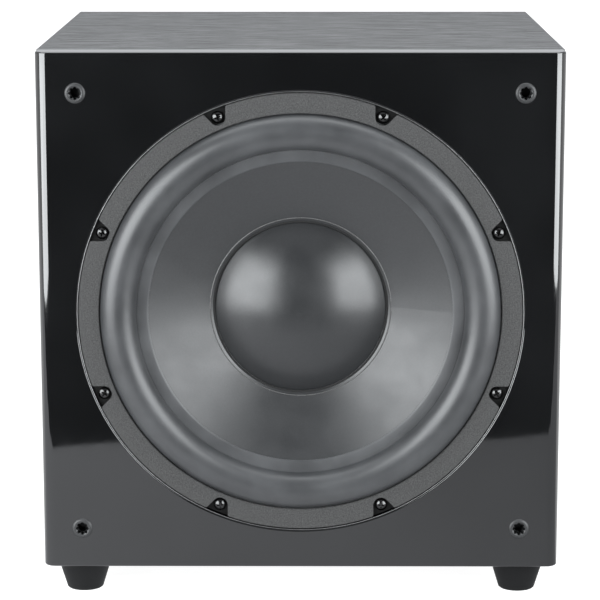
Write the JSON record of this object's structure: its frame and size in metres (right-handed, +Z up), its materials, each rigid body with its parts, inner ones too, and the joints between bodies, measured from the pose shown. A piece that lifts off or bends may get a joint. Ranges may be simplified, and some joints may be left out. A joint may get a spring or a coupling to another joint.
{
  "type": "powered subwoofer",
  "caption": "Near-cube powered subwoofer: gloss black front baffle with a large long-throw woofer, wood-grain wrapped cabinet, rubber feet and a rear amplifier panel.",
  "frame": {"origin": "centre of the overall footprint on the floor", "axes": "+Z up, the woofer faces -Y, +X to the viewer's right when facing the woofer"},
  "size_m": [0.365, 0.3771, 0.3881],
  "materials": {
    "lacquer": "gloss",
    "vinyl_wrap": "satin",
    "raw_board": "matte",
    "lining_fibre": "matte",
    "foot_rubber": "matte",
    "zinc_steel": "satin",
    "black_steel": "satin",
    "socket_rubber": "matte",
    "trim_rubber": "matte",
    "surround_rubber": "satin",
    "cone_sheet": "satin",
    "cap_sheet": "satin",
    "frame_paint": "matte",
    "seal_foam": "matte",
    "spider_cloth": "matte",
    "coil_former": "satin",
    "coil_wire": "satin",
    "plated_steel": "satin",
    "ferrite": "matte",
    "phenolic": "matte",
    "tinned_metal": "satin",
    "braid": "satin",
    "lead_jacket": "satin",
    "amp_paint": "satin",
    "box_plastic": "matte",
    "circuit_board": "satin",
    "post_brass": "satin",
    "transformer_core": "satin",
    "can_sleeve": "gloss",
    "bare_aluminium": "satin",
    "knob_plastic": "satin",
    "pot_metal": "satin",
    "lever_chrome": "gloss",
    "switch_plastic": "satin",
    "rocker_plastic": "gloss",
    "fuse_glass": "gloss",
    "jack_metal": "gloss",
    "jack_plastic": "satin",
    "lamp_guide": "gloss"
  },
  "bodies": {
    "cabinet": {"front_baffle": "lacquer", "top_panel": "vinyl_wrap", "bottom_panel": "vinyl_wrap", "left_panel": "vinyl_wrap", "right_panel": "vinyl_wrap", "rear_panel": "vinyl_wrap", "window_brace": "raw_board", "fibre_lining": "lining_fibre", "foot_front_left": "foot_rubber", "foot_front_right": "foot_rubber", "foot_rear_left": "foot_rubber", "foot_rear_right": "foot_rubber", "foot_screws": "zinc_steel", "tee_nuts": "zinc_steel", "driver_screws": "black_steel", "amp_screws": "black_steel", "grille_sockets": "socket_rubber", "trim_ring": "trim_rubber", "surround": "surround_rubber", "basket": "frame_paint", "driver_seal": "seal_foam", "amp_seal": "seal_foam", "spider": "spider_cloth", "top_plate": "plated_steel", "pole_yoke": "plated_steel", "magnet_ring_front": "ferrite", "magnet_ring_rear": "ferrite", "terminal_board": "phenolic", "terminal_lugs": "tinned_metal", "inlet_blades": "tinned_metal", "tinsel_leads": "braid", "speaker_leads": "lead_jacket", "amp_plate": "amp_paint", "amp_box": "box_plastic", "lead_gland": "box_plastic", "main_board": "circuit_board", "board_posts": "post_brass", "transformer": "transformer_core", "supply_capacitors": "can_sleeve", "heat_spreader": "bare_aluminium", "pot_cans": "pot_metal", "toggle_bodies": "pot_metal", "rocker_frame": "switch_plastic", "mains_inlet": "switch_plastic", "phono_metal": "jack_metal", "phono_insulators": "jack_plastic", "status_lamp": "lamp_guide"},
    "cone_assembly": {"cone": "cone_sheet", "dust_cap": "cap_sheet", "voice_coil_former": "coil_former", "voice_coil_winding": "coil_wire"},
    "level_control": {"level_knob": "knob_plastic", "level_shaft": "bare_aluminium"},
    "crossover_control": {"crossover_knob": "knob_plastic", "crossover_shaft": "bare_aluminium"},
    "phase_switch": {"phase_lever": "lever_chrome"},
    "standby_switch": {"standby_lever": "lever_chrome"},
    "power_switch": {"power_rocker": "rocker_plastic"},
    "fuse_holder": {"fuse_drawer": "switch_plastic", "fuse_cartridge": "fuse_glass"}
  },
  "joints": [
    {"name": "cone_travel", "type": "slide", "parent": "cabinet", "child": "cone_assembly", "axis": [0, -1, 0], "range_m": [-0.01, 0.01], "stiffness_N_per_m": 2800, "deforming": ["surround", "spider", "tinsel_leads"]},
    {"name": "level_turn", "type": "hinge", "parent": "cabinet", "child": "level_control", "pos_m": [0.048, 0.1743, 0.3052], "axis": [0, 1, 0], "range_deg": [-150, 150]},
    {"name": "crossover_turn", "type": "hinge", "parent": "cabinet", "child": "crossover_control", "pos_m": [-0.048, 0.1743, 0.3052], "axis": [0, 1, 0], "range_deg": [-150, 150]},
    {"name": "phase_flip", "type": "hinge", "parent": "cabinet", "child": "phase_switch", "pos_m": [0.048, 0.1743, 0.2572], "axis": [1, 0, 0], "range_deg": [-24, 0]},
    {"name": "standby_flip", "type": "hinge", "parent": "cabinet", "child": "standby_switch", "pos_m": [-0.048, 0.1743, 0.2572], "axis": [1, 0, 0], "range_deg": [-24, 0]},
    {"name": "power_tip", "type": "hinge", "parent": "cabinet", "child": "power_switch", "pos_m": [-0.046, 0.1743, 0.1132], "axis": [1, 0, 0], "range_deg": [-16, 0]},
    {"name": "fuse_pull", "type": "slide", "parent": "cabinet", "child": "fuse_holder", "axis": [0, 1, 0], "range_m": [0, 0.016]}
  ]
}
